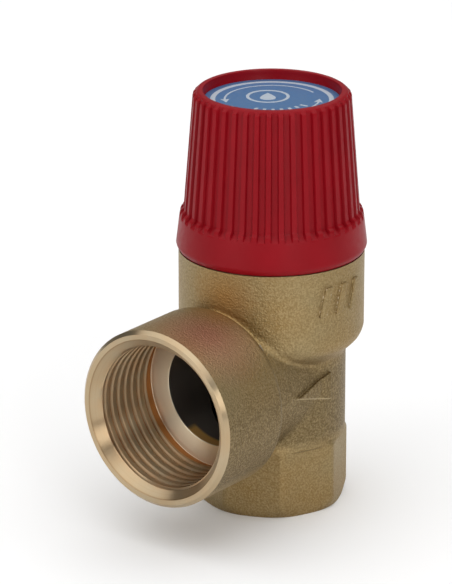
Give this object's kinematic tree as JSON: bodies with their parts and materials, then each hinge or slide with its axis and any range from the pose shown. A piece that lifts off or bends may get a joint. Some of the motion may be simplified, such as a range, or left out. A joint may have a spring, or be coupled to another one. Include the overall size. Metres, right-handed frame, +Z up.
{
  "type": "pressure relief valve",
  "caption": "Angle diaphragm relief valve: threaded inlet below, wider threaded outlet at the side, ribbed knob that lifts the disc when turned.",
  "frame": {"origin": "centre of the inlet face, on the valve axis", "axes": "+Z up the valve axis towards the knob; the outlet faces -Y"},
  "size_m": [0.0326, 0.0489, 0.0729],
  "materials": {
    "forged_brass": "blasted forging with bright machined faces",
    "turned_brass": "turned",
    "knob_plastic": "moulded red plastic, satin",
    "label_print": "printed disc, blue with pale marks",
    "bonnet_plastic": "glass-filled black plastic",
    "holder_plastic": "black moulded plastic",
    "bush_plastic": "natural acetal",
    "diaphragm_rubber": "matte black rubber",
    "gasket_rubber": "matte black rubber",
    "spring_steel": "drawn steel wire",
    "plated_steel": "zinc plated"
  },
  "bodies": {
    "housing": {"valve_body": "forged_brass", "diaphragm": "diaphragm_rubber", "slip_ring": "turned_brass", "bonnet": "bonnet_plastic", "spring_adjuster": "turned_brass", "stem_bush": "bush_plastic", "upper_spring_plate": "plated_steel", "spring": "spring_steel"},
    "stem": {"stem": "turned_brass", "lower_spring_plate": "plated_steel", "diaphragm_support": "plated_steel", "stem_nut": "plated_steel", "disc_holder": "holder_plastic", "seat_gasket": "gasket_rubber", "gasket_retainer": "plated_steel", "gasket_screw": "plated_steel", "knob_washer": "plated_steel", "knob_screw": "plated_steel"},
    "knob": {"knob": "knob_plastic", "label_disc": "label_print"}
  },
  "joints": [
    {"name": "stem_lift", "type": "slide", "parent": "housing", "child": "stem", "axis": [0, 0, 1], "range_m": [0, 0.0024], "stiffness_N_per_m": 3000, "springref_m": -0.003, "deforming": ["spring", "diaphragm"]},
    {"name": "knob_turn", "type": "hinge", "parent": "stem", "child": "knob", "pos_m": [0, 0, 0.0677], "axis": [0, 0, 1], "range_deg": [0, 100]}
  ],
  "couplings": [
    {"joint": "knob_turn", "follows": "stem_lift", "rad_per_m": 727.2}
  ]
}
